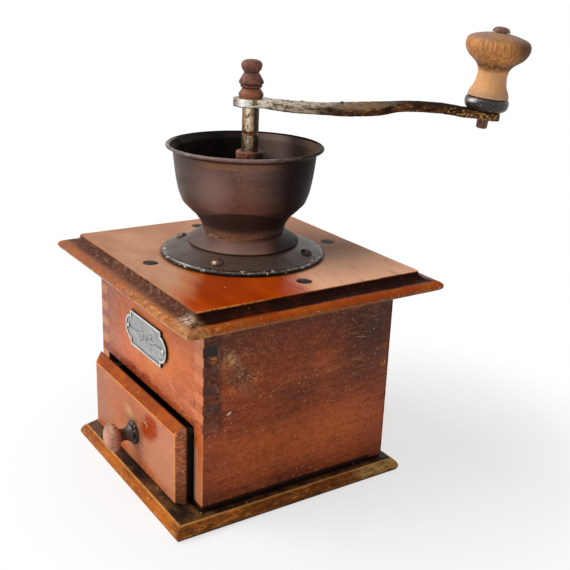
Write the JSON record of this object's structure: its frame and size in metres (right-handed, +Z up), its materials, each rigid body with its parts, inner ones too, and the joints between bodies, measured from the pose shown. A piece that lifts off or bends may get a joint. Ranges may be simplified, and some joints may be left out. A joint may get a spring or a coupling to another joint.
{
  "type": "manual coffee grinder",
  "caption": "Hand cranked box coffee mill: finger jointed wooden case with a drawer, moulded top board, iron bell hopper, toothed burrs, twisted crank arm and a turned knob.",
  "frame": {"origin": "on the underside of the base board, below the middle of the case", "axes": "+Z up, the drawer opens towards -Y, +X to the right of someone who faces the drawer"},
  "size_m": [0.1692, 0.194, 0.2372],
  "materials": {
    "case_wood": "worn red brown varnish",
    "board_wood": "worn orange brown varnish",
    "drawer_wood": "bare softwood",
    "knob_wood": "bare turned wood, worn",
    "drawer_knob_wood": "dark turned wood, worn",
    "patinated_iron": "dark brown patina, satin",
    "black_iron": "black, chipped",
    "rusty_iron": "rusted, matt",
    "worn_steel": "worn and pitted",
    "pewter": "dull grey"
  },
  "bodies": {
    "case": {"case_side_left": "case_wood", "case_side_right": "case_wood", "case_front_panel": "case_wood", "case_back_panel": "case_wood", "drawer_runner_left": "case_wood", "drawer_runner_right": "case_wood", "base_board": "board_wood", "top_board": "board_wood", "hopper_flange": "patinated_iron", "hopper_collar": "patinated_iron", "hopper_bowl": "patinated_iron", "hopper_screw_1": "patinated_iron", "hopper_screw_2": "patinated_iron", "hopper_screw_3": "patinated_iron", "hopper_screw_4": "patinated_iron", "burr_housing": "patinated_iron", "stirrup": "patinated_iron", "top_screw_front": "black_iron", "top_screw_right": "black_iron", "top_screw_back": "black_iron", "top_screw_left": "black_iron", "hopper_bridge": "rusty_iron", "spindle_bush": "rusty_iron", "base_screw_front_left": "worn_steel", "base_screw_back_left": "worn_steel", "base_screw_front_right": "worn_steel", "base_screw_back_right": "worn_steel", "badge_pin_left": "worn_steel", "badge_pin_right": "worn_steel", "housing_screw_1": "worn_steel", "housing_screw_2": "worn_steel", "housing_screw_3": "worn_steel", "housing_screw_4": "worn_steel", "stirrup_bolt_left": "worn_steel", "stirrup_bolt_right": "worn_steel", "badge_plate": "pewter"},
    "drawer": {"drawer_front": "board_wood", "drawer_side_left": "drawer_wood", "drawer_side_right": "drawer_wood", "drawer_back": "drawer_wood", "drawer_bottom": "drawer_wood", "drawer_knob_rosette": "patinated_iron", "drawer_knob": "drawer_knob_wood", "drawer_knob_screw": "worn_steel"},
    "adjuster": {"adjust_wheel": "worn_steel"},
    "thrust": {"thrust_screw": "worn_steel"},
    "crank": {"spindle": "worn_steel", "burr_cone": "patinated_iron", "cone_pin": "worn_steel", "crank_arm": "rusty_iron", "finial_nut": "rusty_iron", "knob_pin": "worn_steel"},
    "knob": {"knob_ferrule": "black_iron", "knob_grip": "knob_wood"}
  },
  "joints": [
    {"name": "drawer_slide", "type": "slide", "parent": "case", "child": "drawer", "axis": [0, -1, 0], "range_m": [-0.0039, 0.08]},
    {"name": "wheel_turn", "type": "hinge", "parent": "case", "child": "adjuster", "pos_m": [0.0013, 0.002, 0.0567], "axis": [0, 0, 1], "range_deg": [0, 540]},
    {"name": "thrust_lift", "type": "slide", "parent": "case", "child": "thrust", "axis": [0, 0, 1], "range_m": [0, 0.0015]},
    {"name": "crank_turn", "type": "hinge", "parent": "thrust", "child": "crank", "pos_m": [0.0013, 0.002, 0.1685], "axis": [0, 0, 1], "continuous": true},
    {"name": "knob_spin", "type": "hinge", "parent": "crank", "child": "knob", "pos_m": [0.07333, 0.0942, 0.1968], "axis": [0.0611, 0.0783, 0.9951], "continuous": true}
  ],
  "couplings": [
    {"joint": "thrust_lift", "follows": "wheel_turn", "m_per_rad": 0.00015915}
  ]
}
